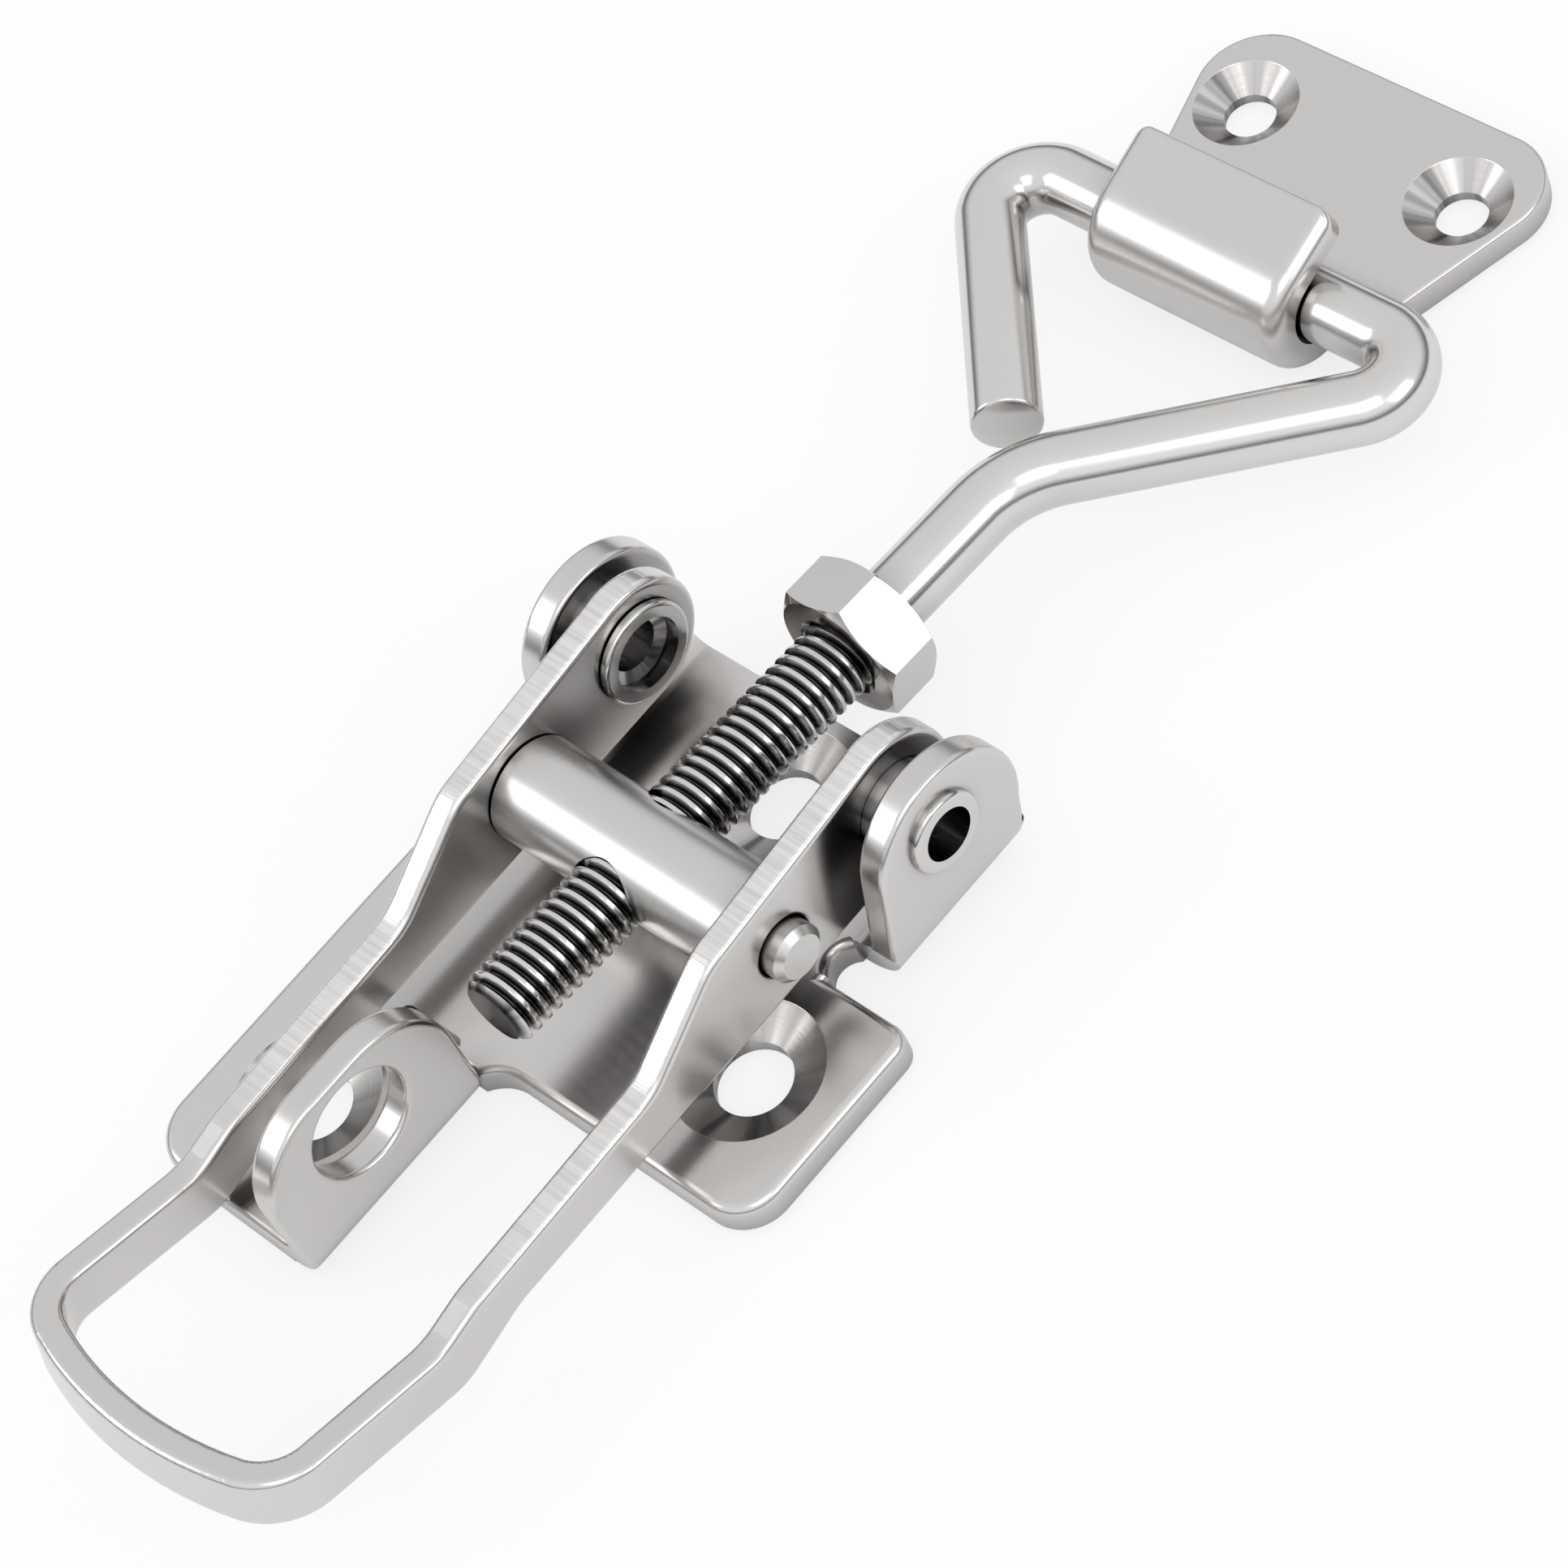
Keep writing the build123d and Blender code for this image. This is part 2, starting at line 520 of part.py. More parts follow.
# Hook of the strike: the tongue rolled up and back over the bar
with BuildPart() as strike_hook:
    lip = radians(90 + HOOK_LIP_ANGLE)
    lip_run = (
        HOOK_LIP_LENGTH * cos(radians(HOOK_LIP_ANGLE)),
        HOOK_LIP_LENGTH * sin(radians(HOOK_LIP_ANGLE)),
    )

    def around(radius, angle):
        """Point of the hook section at a radius and angle about the bar."""
        return (HOOK_Y + radius * cos(angle), BAR_Z + radius * sin(angle))

    with BuildSketch(Plane.YZ) as hook_section:
        outer_lip = around(HOOK_OUTER_R, lip)
        inner_lip = around(HOOK_INNER_R, lip)
        outer_end = (outer_lip[0] + lip_run[0], outer_lip[1] + lip_run[1])
        inner_end = (inner_lip[0] + lip_run[0], inner_lip[1] + lip_run[1])
        with BuildLine():
            ThreePointArc((HOOK_Y, 0), around(HOOK_OUTER_R, radians(180)), outer_lip)
            Polyline(outer_lip, outer_end, inner_end, inner_lip)
            ThreePointArc(inner_lip, around(HOOK_INNER_R, radians(180)), (HOOK_Y, STRIKE_SHEET))
            Line((HOOK_Y, STRIKE_SHEET), (HOOK_Y, 0))
        make_face()
        lip_edge = hook_section.vertices().sort_by_distance((*outer_end, 0))[0]
        fillet(lip_edge, STRIKE_EDGE_R)
    extrude(amount=HOOK_HALF_WIDTH, both=True)
    lip_corners = strike_hook.edges().filter_by(
        lambda e: abs(e.length - STRIKE_SHEET) < STRIKE_EDGE_R + 0.1 and e.center().Y > HOOK_Y + 1
    )
    lip_corners = lip_corners.filter_by(lambda e: e.center().Z > BAR_Z)
    fillet(lip_corners, HOOK_LIP_R)

with BuildPart() as strike_plate:
    add(strike_flat.part)
    add(strike_hook.part)
    with Locations(
        (STRIKE_HOLE_X, STRIKE_HOLE_Y, STRIKE_SHEET),
        (-STRIKE_HOLE_X, STRIKE_HOLE_Y, STRIKE_SHEET),
    ):
        CounterSinkHole(
            radius=STRIKE_HOLE_R,
            counter_sink_radius=STRIKE_SINK_R,
            depth=STRIKE_SHEET,
            counter_sink_angle=sink_angle(STRIKE_SINK_R, STRIKE_HOLE_R, STRIKE_SINK_DEPTH),
        )

os.makedirs("parts", exist_ok=True)
for label, piece in (
    ("base_plate", base_plate.part),
    ("lever", lever.part),
    ("pivot_rivet_left", pivot_rivet_left),
    ("pivot_rivet_right", pivot_rivet_right),
    ("trunnion_barrel", trunnion_barrel.part),
    ("hook_bolt", hook_bolt.part),
    ("lock_nut", lock_nut.part),
    ("strike_plate", strike_plate.part),
):
    piece.label = label
    export_step(piece, f"parts/{label}.step")

print("bolt angle", round(BOLT_ANGLE, 3), "bolt length", round(BOLT_LENGTH, 3))
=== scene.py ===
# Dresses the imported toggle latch: threaded hook bolt, plated steel finishes,
# studio floor, lights and camera. Sizes are millimetres, turned to metres by MM.
import math

import bmesh
import bpy
from mathutils import Matrix, Vector


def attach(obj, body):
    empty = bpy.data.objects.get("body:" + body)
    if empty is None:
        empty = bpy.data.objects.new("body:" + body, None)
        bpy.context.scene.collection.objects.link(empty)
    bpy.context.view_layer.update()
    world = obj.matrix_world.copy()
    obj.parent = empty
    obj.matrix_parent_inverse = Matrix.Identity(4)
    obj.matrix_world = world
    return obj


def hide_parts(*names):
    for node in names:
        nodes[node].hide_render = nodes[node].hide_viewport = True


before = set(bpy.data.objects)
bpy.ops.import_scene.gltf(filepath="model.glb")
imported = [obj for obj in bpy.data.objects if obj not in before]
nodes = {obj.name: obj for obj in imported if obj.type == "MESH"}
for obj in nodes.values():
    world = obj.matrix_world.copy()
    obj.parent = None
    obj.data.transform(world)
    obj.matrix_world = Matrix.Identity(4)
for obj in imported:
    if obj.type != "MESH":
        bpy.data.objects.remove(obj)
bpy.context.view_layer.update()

MM = 0.001

# Hook bolt, with the same sizes as its solid
BARREL_CENTRE = (0.0, -11.1, 9.25)
BOLT_ANGLE = 3.725
BOLT_LENGTH = 62.031
ROD_R = 2.64
TIP_START = -15.2
THREAD_END = 24.8
LOOP_CORNER_X = 23.5
LOOP_CORNER_R = 3.6
SHANK_BEND_R = 9.0
LOOP_END_X = -3.5
LEG_ANGLE = 45.0
ROD_SIDES = 56
BEND_STEP_DEGREES = 5
BEND_STEPS_LEAST = 6
END_BEVEL = 0.25
SMOOTH_ANGLE = 35

# Rolled M6 thread
PITCH = 1.0
THREAD_R = 2.95
ROOT_R = 2.36
THREAD_STEPS = 40
SPARE_TURNS = 4
ROD_OVERLAP = 2 * PITCH
TIP_CHAMFER = 0.65
BLANK_SIDES = 96
BLANK_SPARE_R = 0.3
BLANK_SPARE_LENGTH = 2
TIP_FACE_DEPTH = 0.1

# Distances in metres below which points are taken as one
WELD = 1e-7
TURN_WELD = 1e-6

# one pitch of the thread, as (share of the pitch, share of the depth)
THREAD_PROFILE = (
    (0.0, 0.0),
    (0.07, 0.03),
    (0.13, 0.14),
    (0.29, 0.86),
    (0.34, 0.97),
    (0.41, 0.99),
    (0.5, 1.0),
    (0.59, 0.99),
    (0.66, 0.97),
    (0.71, 0.86),
    (0.87, 0.14),
    (0.93, 0.03),
    (1.0, 0.0),
)


def deselect_all():
    """Leaves object mode with nothing selected."""
    if bpy.context.object and bpy.context.object.mode != "OBJECT":
        bpy.ops.object.mode_set(mode="OBJECT")
    bpy.ops.object.select_all(action="DESELECT")


def pick(piece):
    """Makes one object the only selected and active one."""
    deselect_all()
    piece.select_set(True)
    bpy.context.view_layer.objects.active = piece


def edit(piece, kind="VERT"):
    """Opens a piece in edit mode with everything selected."""
    pick(piece)
    bpy.ops.object.mode_set(mode="EDIT")
    bpy.ops.mesh.select_mode(type=kind)
    bpy.ops.mesh.select_all(action="SELECT")


def apply_all(piece):
    """Applies every modifier of a piece, then its place and scale."""
    pick(piece)
    for modifier in list(piece.modifiers):
        bpy.ops.object.modifier_apply(modifier=modifier.name)
    bpy.ops.object.transform_apply(location=True, rotation=True, scale=True)


def select_faces(piece, test):
    """Selects, in edit mode, the faces that pass a test."""
    bpy.ops.mesh.select_mode(type="FACE")
    bpy.ops.mesh.select_all(action="DESELECT")
    mesh = bmesh.from_edit_mesh(piece.data)
    for face in mesh.faces:
        if test(face):
            face.select = True
    mesh.select_flush_mode()
    bmesh.update_edit_mesh(piece.data)


def run(heading, length):
    """A straight step of the rod, as a vector in metres."""
    angle = math.radians(heading)
    return (length * MM * math.cos(angle), length * MM * math.sin(angle), 0.0)


def bend_rod(position, heading, turn, radius):
    """Spins the open end of the rod about a bend, and returns the new position and heading."""
    side = math.copysign(90.0, turn)
    to_centre = run(heading + side, radius)
    centre = position + Vector(to_centre)
    bpy.ops.mesh.spin(
        steps=max(BEND_STEPS_LEAST, int(abs(turn) / BEND_STEP_DEGREES)),
        angle=-math.radians(turn),
        center=centre,
        axis=(0, 0, 1),
    )
    turned = Matrix.Rotation(math.radians(turn), 3, "Z") @ (position - centre)
    return centre + turned, heading + turn


def extrude_rod(position, heading, length):
    """Draws the open end of the rod straight on, and returns its new position."""
    step = run(heading, length)
    bpy.ops.mesh.extrude_region_move(TRANSFORM_OT_translate={"value": step})
    return position + Vector(step)


def make_bent_rod():
    """Plain part of the hook bolt: shank, right leg, cross bar and left leg."""
    turn_length = SHANK_BEND_R * math.tan(math.radians(LEG_ANGLE / 2))
    corner_length = LOOP_CORNER_R * math.tan(math.radians((180 - LEG_ANGLE) / 2))
    bend_start = BOLT_LENGTH - LOOP_CORNER_X
    leg = LOOP_CORNER_X / math.cos(math.radians(LEG_ANGLE))
    short_leg = (LOOP_CORNER_X + LOOP_END_X) / math.cos(math.radians(LEG_ANGLE))
    start = Vector((0.0, (THREAD_END - ROD_OVERLAP) * MM, 0.0))
    deselect_all()
    bpy.ops.mesh.primitive_circle_add(
        vertices=ROD_SIDES,
        radius=ROD_R * MM,
        fill_type="NGON",
        location=start,
        rotation=(math.radians(90), 0, 0),
    )
    rod = bpy.context.object
    rod.name = "hook_bolt_rod"
    bpy.ops.object.transform_apply(location=True, rotation=True, scale=True)
    edit(rod, "FACE")
    place = extrude_rod(start, 90.0, bend_start - turn_length - THREAD_END + ROD_OVERLAP)
    place, heading = bend_rod(place, 90.0, -LEG_ANGLE, SHANK_BEND_R)
    place = extrude_rod(place, heading, leg - turn_length - corner_length)
    place, heading = bend_rod(place, heading, 180.0 - LEG_ANGLE, LOOP_CORNER_R)
    place = extrude_rod(place, heading, 2 * (LOOP_CORNER_X - corner_length))
    place, heading = bend_rod(place, heading, 180.0 - LEG_ANGLE, LOOP_CORNER_R)
    place = extrude_rod(place, heading, short_leg - corner_length)

    def closes_the_rod(face):
        near_end = (face.calc_center_median() - place).length < ROD_R * MM / 2
        return len(face.verts) > 4 and near_end

    select_faces(rod, closes_the_rod)
    bpy.ops.mesh.bevel(offset=END_BEVEL * MM, segments=3, affect="EDGES")
    bpy.ops.mesh.select_all(action="SELECT")
    bpy.ops.mesh.remove_doubles(threshold=WELD)
    bpy.ops.mesh.normals_make_consistent(inside=False)
    deselect_all()
    return rod


def make_thread():
    """Threaded end of the hook bolt: one pitch of the profile, screwed along the rod."""
    deselect_all()
    first = Vector((ROOT_R * MM, (TIP_START - 2 * PITCH) * MM, 0.0))
    bpy.ops.mesh.primitive_plane_add(size=MM, location=first)
    thread = bpy.context.object
    thread.name = "hook_bolt_thread"
    bpy.ops.object.transform_apply(location=True, rotation=True, scale=True)
    edit(thread)
    bpy.ops.mesh.merge(type="CENTER")
    here = first.copy()
    for along, deep in THREAD_PROFILE[1:]:
        there = Vector((
            (ROOT_R + deep * (THREAD_R - ROOT_R)) * MM,
            first.y + along * PITCH * MM,
            0.0,
        ))
        bpy.ops.mesh.extrude_region_move(TRANSFORM_OT_translate={"value": there - here})
        here = there
    deselect_all()
    pick(thread)
    screw = thread.modifiers.new("screw", "SCREW")
    screw.axis = "Y"
    screw.angle = 2 * math.pi
    screw.screw_offset = PITCH * MM
    screw.iterations = int((THREAD_END - TIP_START) / PITCH) + SPARE_TURNS
    screw.steps = THREAD_STEPS
    screw.render_steps = THREAD_STEPS
    apply_all(thread)
    edit(thread)
    bpy.ops.mesh.remove_doubles(threshold=TURN_WELD)
    for cut, outer in ((TIP_START, False), (THREAD_END, True)):
        bpy.ops.mesh.select_all(action="SELECT")
        bpy.ops.mesh.bisect(
            plane_co=(0, cut * MM, 0),
            plane_no=(0, 1, 0),
            clear_inner=not outer,
            clear_outer=outer,
            use_fill=True,
            threshold=WELD,
        )
    bpy.ops.mesh.select_all(action="SELECT")
    bpy.ops.mesh.normals_make_consistent(inside=False)
    deselect_all()
    return thread


def make_tip_blank():
    """Turned blank whose chamfer the thread runs out on."""
    length = THREAD_END - TIP_START + BLANK_SPARE_LENGTH
    deselect_all()
    bpy.ops.mesh.primitive_cylinder_add(
        vertices=BLANK_SIDES,
        radius=(THREAD_R + BLANK_SPARE_R) * MM,
        depth=length * MM,
        location=(0, (TIP_START + length / 2) * MM, 0),
        rotation=(math.radians(90), 0, 0),
    )
    blank = bpy.context.object
    bpy.ops.object.transform_apply(location=True, rotation=True, scale=True)
    edit(blank, "FACE")
    tip_y = (TIP_START + TIP_FACE_DEPTH) * MM
    select_faces(blank, lambda face: face.calc_center_median().y < tip_y)
    bpy.ops.mesh.bevel(offset=(TIP_CHAMFER + BLANK_SPARE_R) * MM, segments=1, affect="EDGES")
    deselect_all()
    return blank


def combine(piece, tool, operation):
    """Boolean of a piece with a tool, which is then removed."""
    pick(piece)
    cut = piece.modifiers.new("cut", "BOOLEAN")
    cut.operation = operation
    cut.solver = "EXACT"
    cut.object = tool
    bpy.ops.object.modifier_apply(modifier=cut.name)
    bpy.data.objects.remove(tool)


def make_hook_bolt():
    """The whole hook bolt, turned and moved from its own axis to its place in the barrel."""
    bolt = make_thread()
    combine(bolt, make_tip_blank(), "INTERSECT")
    combine(bolt, make_bent_rod(), "UNION")
    bolt.name = "hook_bolt_threaded"
    edit(bolt)
    bpy.ops.transform.rotate(
        value=math.radians(BOLT_ANGLE),
        orient_axis="X",
        center_override=(0, 0, 0),
    )
    bpy.ops.transform.translate(value=[c * MM for c in BARREL_CENTRE])
    deselect_all()
    pick(bolt)
    bpy.ops.object.shade_smooth_by_angle(angle=math.radians(SMOOTH_ANGLE))
    return bolt


hook_bolt = make_hook_bolt()
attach(hook_bolt, "bolt")
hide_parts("hook_bolt")


# Materials
RIPPLE_SCALE = 170.0
GRAIN_SCALE = 2600.0
GRAIN_SHARE = 0.12
RING_SCALE = 4200.0
PAINTED_FAN_SCALE = 1.9
PAINTED_FAN_FROM = 0.42
PAINTED_FAN_FULL = 0.62
PAINTED_SHADE_SAMPLES = 8


def new_group(name, inputs, outputs):
    """An empty shader node group with named float and vector sockets."""
    group = bpy.data.node_groups.new(name, "ShaderNodeTree")
    for label, kind, default in inputs:
        socket = group.interface.new_socket(label, in_out="INPUT", socket_type=kind)
        if default is not None:
            socket.default_value = default
    for label, kind in outputs:
        group.interface.new_socket(label, in_out="OUTPUT", socket_type=kind)
    return group, group.nodes.new("NodeGroupInput"), group.nodes.new("NodeGroupOutput")


def maths(tree, operation, first, second=None, third=None):
    """A Math node fed by sockets or numbers; returns its output."""
    node = tree.nodes.new("ShaderNodeMath")
    node.operation = operation
    for slot, value in enumerate((first, second, third)):
        if value is None:
            continue
        if isinstance(value, bpy.types.NodeSocket):
            tree.links.new(value, node.inputs[slot])
        else:
            node.inputs[slot].default_value = value
    return node.outputs[0]


def mix_colours(tree, share, first, second):
    """A Mix node between two colours or colour sockets; returns its colour output."""
    node = tree.nodes.new("ShaderNodeMix")
    node.data_type = "RGBA"
    sockets = [socket for socket in node.inputs if socket.type == "RGBA"]
    for socket, value in zip(sockets, (first, second)):
        if isinstance(value, bpy.types.NodeSocket):
            tree.links.new(value, socket)
        else:
            socket.default_value = (*value, 1.0)
    tree.links.new(share, node.inputs[0])
    return next(socket for socket in node.outputs if socket.type == "RGBA")


def noise(tree, vector, scale, detail=2.0, roughness=0.5):
    """A Noise Texture on given coordinates; returns its value."""
    node = tree.nodes.new("ShaderNodeTexNoise")
    tree.links.new(vector, node.inputs["Vector"])
    node.inputs["Scale"].default_value = scale
    node.inputs["Detail"].default_value = detail
    node.inputs["Roughness"].default_value = roughness
    return node.outputs["Fac"]


def build_tumbled_finish():
    """Soft uneven shine of tumbled and plated steel: slow ripples and fine grain."""
    group, inlet, outlet = new_group(
        "tumbled_finish",
        [
            ("Vector", "NodeSocketVector", None),
            ("Roughness", "NodeSocketFloat", 0.2),
            ("Variation", "NodeSocketFloat", 0.08),
        ],
        [("Roughness", "NodeSocketFloat"), ("Height", "NodeSocketFloat")],
    )
    ripple = noise(group, inlet.outputs["Vector"], RIPPLE_SCALE, 3.0, 0.5)
    grain = noise(group, inlet.outputs["Vector"], GRAIN_SCALE, 3.0, 0.6)
    spread = maths(group, "SUBTRACT", ripple, 0.5)
    rough = maths(group, "MULTIPLY_ADD", spread, inlet.outputs["Variation"], inlet.outputs["Roughness"])
    group.links.new(rough, outlet.inputs["Roughness"])
    height = maths(group, "MULTIPLY_ADD", grain, GRAIN_SHARE, ripple)
    group.links.new(height, outlet.inputs["Height"])
    return group


def build_cross_streaks():
    """Fine parallel marks, as a shear or a tool leaves on a cut edge."""
    group, inlet, outlet = new_group(
        "cross_streaks",
        [("Vector", "NodeSocketVector", None), ("Stretch", "NodeSocketVector", None)],
        [("Height", "NodeSocketFloat")],
    )
    product = group.nodes.new("ShaderNodeVectorMath")
    product.operation = "MULTIPLY"
    group.links.new(inlet.outputs["Vector"], product.inputs[0])
    group.links.new(inlet.outputs["Stretch"], product.inputs[1])
    lines = noise(group, product.outputs["Vector"], 1.0, 4.0, 0.6)
    group.links.new(lines, outlet.inputs["Height"])
    return group


def build_turned_rings_and_painted_fan():
    """A turning tool's rings, a fan of painted reflection, and a mask that is 1 inside their circle."""
    group, inlet, outlet = new_group(
        "turned_rings_and_painted_fan",
        [
            ("Vector", "NodeSocketVector", None),
            ("Centre", "NodeSocketVector", None),
            ("Radius", "NodeSocketFloat", 0.005),
        ],
        [("Mask", "NodeSocketFloat"), ("Height", "NodeSocketFloat"), ("Painted Fan", "NodeSocketFloat")],
    )
    offset = group.nodes.new("ShaderNodeVectorMath")
    offset.operation = "SUBTRACT"
    group.links.new(inlet.outputs["Vector"], offset.inputs[0])
    group.links.new(inlet.outputs["Centre"], offset.inputs[1])
    flat = group.nodes.new("ShaderNodeVectorMath")
    flat.operation = "MULTIPLY"
    flat.inputs[1].default_value = (1, 1, 0)
    group.links.new(offset.outputs["Vector"], flat.inputs[0])
    far = group.nodes.new("ShaderNodeVectorMath")
    far.operation = "LENGTH"
    group.links.new(flat.outputs["Vector"], far.inputs[0])
    distance = far.outputs["Value"]
    inside = maths(group, "LESS_THAN", distance, inlet.outputs["Radius"])
    group.links.new(inside, outlet.inputs["Mask"])
    outward = group.nodes.new("ShaderNodeCombineXYZ")
    group.links.new(distance, outward.inputs["X"])
    rings = noise(group, outward.outputs["Vector"], RING_SCALE, 2.0, 0.6)
    group.links.new(rings, outlet.inputs["Height"])
    round_it = group.nodes.new("ShaderNodeVectorMath")
    round_it.operation = "NORMALIZE"
    group.links.new(flat.outputs["Vector"], round_it.inputs[0])
    painted_fan = group.nodes.new("ShaderNodeMapRange")
    painted_fan.inputs["From Min"].default_value = PAINTED_FAN_FROM
    painted_fan.inputs["From Max"].default_value = PAINTED_FAN_FULL
    painted_fan_noise = noise(group, round_it.outputs["Vector"], PAINTED_FAN_SCALE, 2.0, 0.6)
    group.links.new(painted_fan_noise, painted_fan.inputs["Value"])
    group.links.new(painted_fan.outputs["Result"], outlet.inputs["Painted Fan"])
    return group


def build_axis_distance():
    """Distance of a point from an axis, and how far along the axis it lies."""
    group, inlet, outlet = new_group(
        "axis_distance",
        [
            ("Vector", "NodeSocketVector", None),
            ("Point", "NodeSocketVector", None),
            ("Direction", "NodeSocketVector", None),
        ],
        [("Distance", "NodeSocketFloat"), ("Along", "NodeSocketFloat")],
    )
    offset = group.nodes.new("ShaderNodeVectorMath")
    offset.operation = "SUBTRACT"
    group.links.new(inlet.outputs["Vector"], offset.inputs[0])
    group.links.new(inlet.outputs["Point"], offset.inputs[1])
    across = group.nodes.new("ShaderNodeVectorMath")
    across.operation = "CROSS_PRODUCT"
    group.links.new(offset.outputs["Vector"], across.inputs[0])
    group.links.new(inlet.outputs["Direction"], across.inputs[1])
    far = group.nodes.new("ShaderNodeVectorMath")
    far.operation = "LENGTH"
    group.links.new(across.outputs["Vector"], far.inputs[0])
    group.links.new(far.outputs["Value"], outlet.inputs["Distance"])
    along = group.nodes.new("ShaderNodeVectorMath")
    along.operation = "DOT_PRODUCT"
    group.links.new(offset.outputs["Vector"], along.inputs[0])
    group.links.new(inlet.outputs["Direction"], along.inputs[1])
    group.links.new(along.outputs["Value"], outlet.inputs["Along"])
    return group


def build_painted_crevice_shade():
    """Painted shade for gaps and corners: how far a point lies down in one, from 0 in the open to 1."""
    group, inlet, outlet = new_group(
        "painted_crevice_shade",
        [("Reach", "NodeSocketFloat", 0.003), ("Sharpness", "NodeSocketFloat", 1.0)],
        [("Share", "NodeSocketFloat")],
    )
    openness = group.nodes.new("ShaderNodeAmbientOcclusion")
    openness.samples = PAINTED_SHADE_SAMPLES
    group.links.new(inlet.outputs["Reach"], openness.inputs["Distance"])
    closed = maths(group, "SUBTRACT", 1.0, openness.outputs["AO"])
    share = maths(group, "POWER", closed, inlet.outputs["Sharpness"])
    group.links.new(share, outlet.inputs["Share"])
    return group


tumbled_finish = build_tumbled_finish()
cross_streaks = build_cross_streaks()
turned_rings_and_painted_fan = build_turned_rings_and_painted_fan()
axis_distance = build_axis_distance()
painted_crevice_shade = build_painted_crevice_shade()


def place_group(tree, group, **values):
    """Puts a node group in a material, with its own values or links."""
    node = tree.nodes.new("ShaderNodeGroup")
    node.node_tree = group
    for label, value in values.items():
        if isinstance(value, bpy.types.NodeSocket):
            tree.links.new(value, node.inputs[label])
        else:
            node.inputs[label].default_value = value
    return node


# Dark colour for painted shade in gaps and thread roots, for the painted reflection wedges in
# countersinks, and for tool scores on the lever arms.
PAINTED_SHADE_AND_SCORE_COLOUR = (0.05, 0.047, 0.045)
# Pale colour of the painted highlight on the lever arms' upward faces.
PAINTED_HIGHLIGHT_COLOUR = (0.92, 0.91, 0.90)
HIGHLIGHT_AND_SCORE_FROM_Y = -44.0
HIGHLIGHT_AND_SCORE_FULL_Y = -37.0
HIGHLIGHT_AND_SCORE_FACING_LEAST = 0.8
PAINTED_HIGHLIGHT_SHARE = 0.7
SCORE_GAIN = 0.7
SCORE_SHIFT = -0.27
PAINTED_SHADE_SHARPNESS = 1.2
SINK_PAINTED_FAN_DEPTH = 0.75


